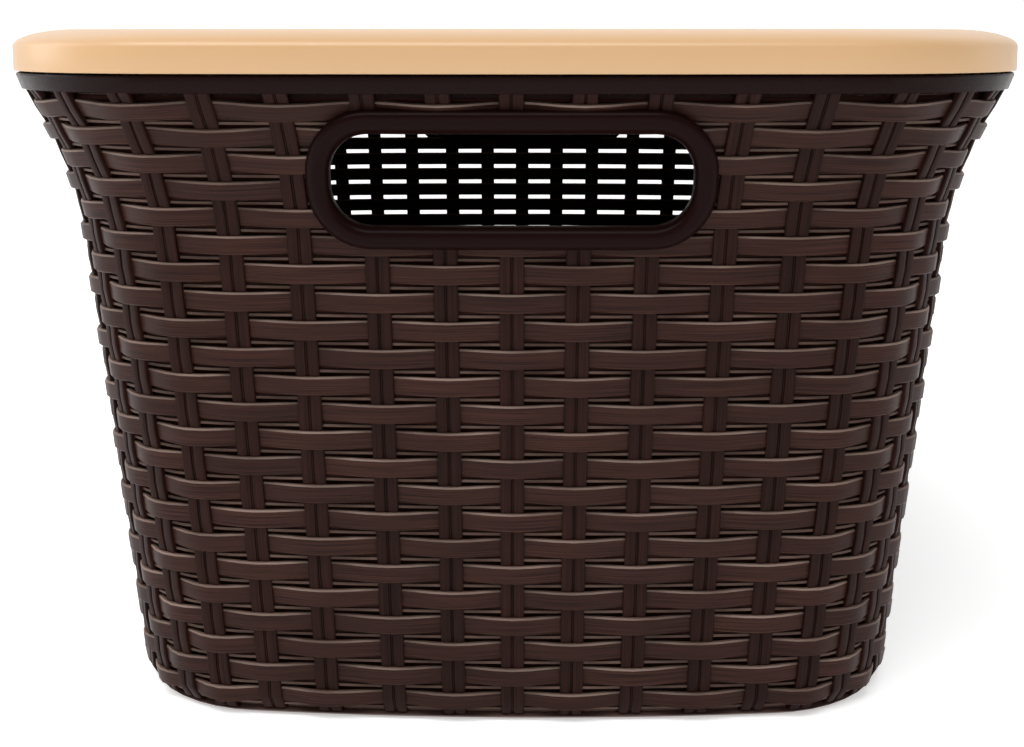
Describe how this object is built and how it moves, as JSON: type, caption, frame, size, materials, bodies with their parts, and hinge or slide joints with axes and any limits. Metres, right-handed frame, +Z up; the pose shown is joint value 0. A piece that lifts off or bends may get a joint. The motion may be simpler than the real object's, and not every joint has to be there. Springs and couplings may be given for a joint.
{
  "type": "laundry basket",
  "caption": "Rectangular moulded laundry basket with a rattan-look woven wall, a cut-out handle in each end and a smooth lift-off lid.",
  "frame": {"origin": "middle of the underside, on the surface the basket stands on", "axes": "+Z up, +Y along the length towards the rear handle, +X across the width towards the right side seen from the front handle"},
  "size_m": [0.397, 0.59, 0.27],
  "materials": {
    "brown_woven_plastic": "dark chocolate polypropylene, fine brushed grain, satin",
    "brown_smooth_plastic": "dark chocolate polypropylene, smooth satin",
    "beige_lid_plastic": "warm beige polypropylene, smooth satin"
  },
  "bodies": {
    "basket": {"wall_front": "brown_woven_plastic", "wall_rear": "brown_woven_plastic", "wall_right": "brown_woven_plastic", "wall_left": "brown_woven_plastic", "floor_panel": "brown_woven_plastic", "rim_band": "brown_smooth_plastic", "handle_frame_front": "brown_smooth_plastic", "handle_frame_rear": "brown_smooth_plastic"},
    "lid": {"lid_top": "beige_lid_plastic", "lid_skirt": "beige_lid_plastic"}
  },
  "joints": [
    {"name": "lid_lift", "type": "slide", "parent": "basket", "child": "lid", "axis": [0, 0, 1], "range_m": [0, 0.08]}
  ]
}
